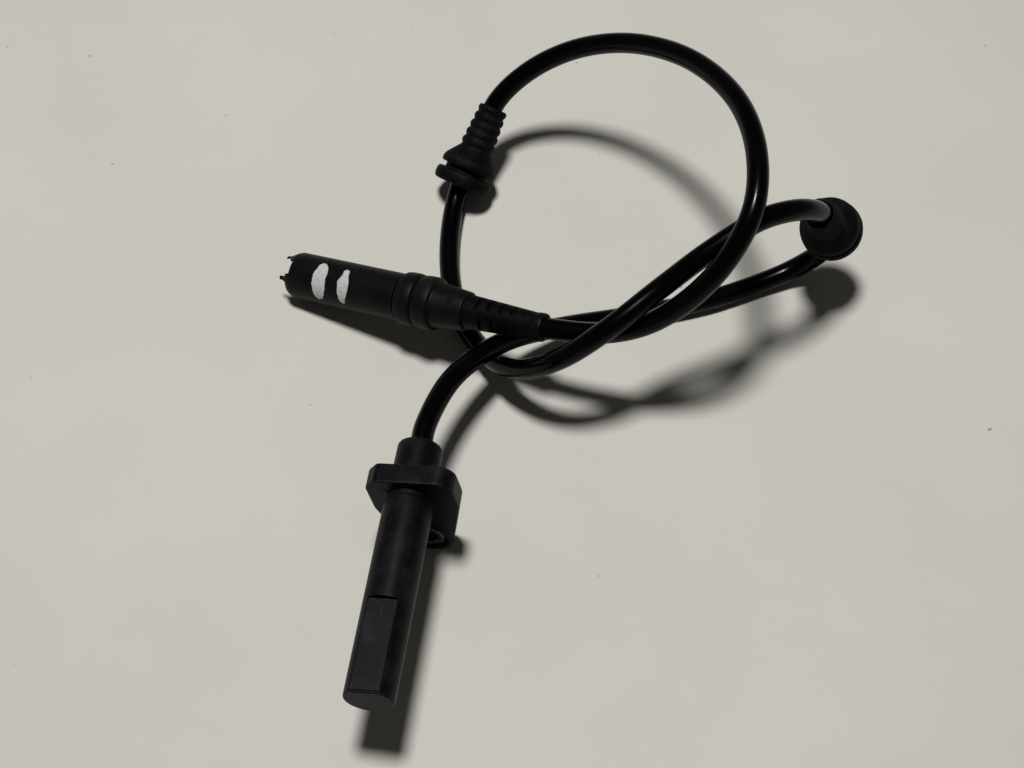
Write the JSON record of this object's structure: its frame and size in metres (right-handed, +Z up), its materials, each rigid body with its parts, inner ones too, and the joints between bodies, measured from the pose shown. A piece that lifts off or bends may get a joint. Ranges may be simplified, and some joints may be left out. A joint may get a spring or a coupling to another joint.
{
  "type": "wheel speed sensor",
  "caption": "Wheel speed sensor: round plastic barrel with its chip behind a flat, on a bolted flange plate, and a free cable with wall grommets that ends in a round sleeved plug",
  "frame": {"origin": "bottom centre of the box around the sensor head, on the plane that the part lies on", "axes": "+Z up, +Y along the barrel from the sensing tip towards the cable, +X to the right as seen from above with the tip towards the viewer"},
  "size_m": [0.1647, 0.2067, 0.0722],
  "materials": {
    "housing_plastic": "satin, dusty",
    "bush_steel": "rolled steel, dull",
    "carrier_plastic": "satin, lightly scratched",
    "chip_epoxy": "smooth",
    "magnet_metal": "plated",
    "capacitor_ceramic": "matte",
    "contact_brass": "stamped, tinned",
    "signal_insulation": "smooth",
    "supply_insulation": "smooth",
    "cable_jacket": "smooth and glossy",
    "grommet_rubber": "dusty, matte",
    "boot_rubber": "dusty, matte",
    "plug_plastic": "satin, dusty",
    "insert_plastic": "satin",
    "seal_rubber": "oiled"
  },
  "bodies": {
    "root": {"sensor_housing": "housing_plastic", "flange_bush": "bush_steel", "chip_carrier": "carrier_plastic", "sensing_chip": "chip_epoxy", "bias_magnet": "magnet_metal", "filter_capacitor": "capacitor_ceramic", "lead_frame_signal": "contact_brass", "lead_frame_supply": "contact_brass", "core_crimp_signal": "contact_brass", "core_crimp_supply": "contact_brass", "head_core_signal": "signal_insulation", "head_core_supply": "supply_insulation", "sensor_cable": "cable_jacket", "grommet_raised": "grommet_rubber", "grommet_low": "grommet_rubber", "strain_relief_boot": "boot_rubber", "plug_body": "plug_plastic", "plug_sleeve": "plug_plastic", "plug_insert": "insert_plastic", "plug_face_seal": "seal_rubber", "plug_contact_signal": "contact_brass", "plug_contact_supply": "contact_brass", "wire_seal_signal": "seal_rubber", "wire_seal_supply": "seal_rubber", "plug_core_signal": "signal_insulation", "plug_core_supply": "supply_insulation"}
  },
  "joints": []
}
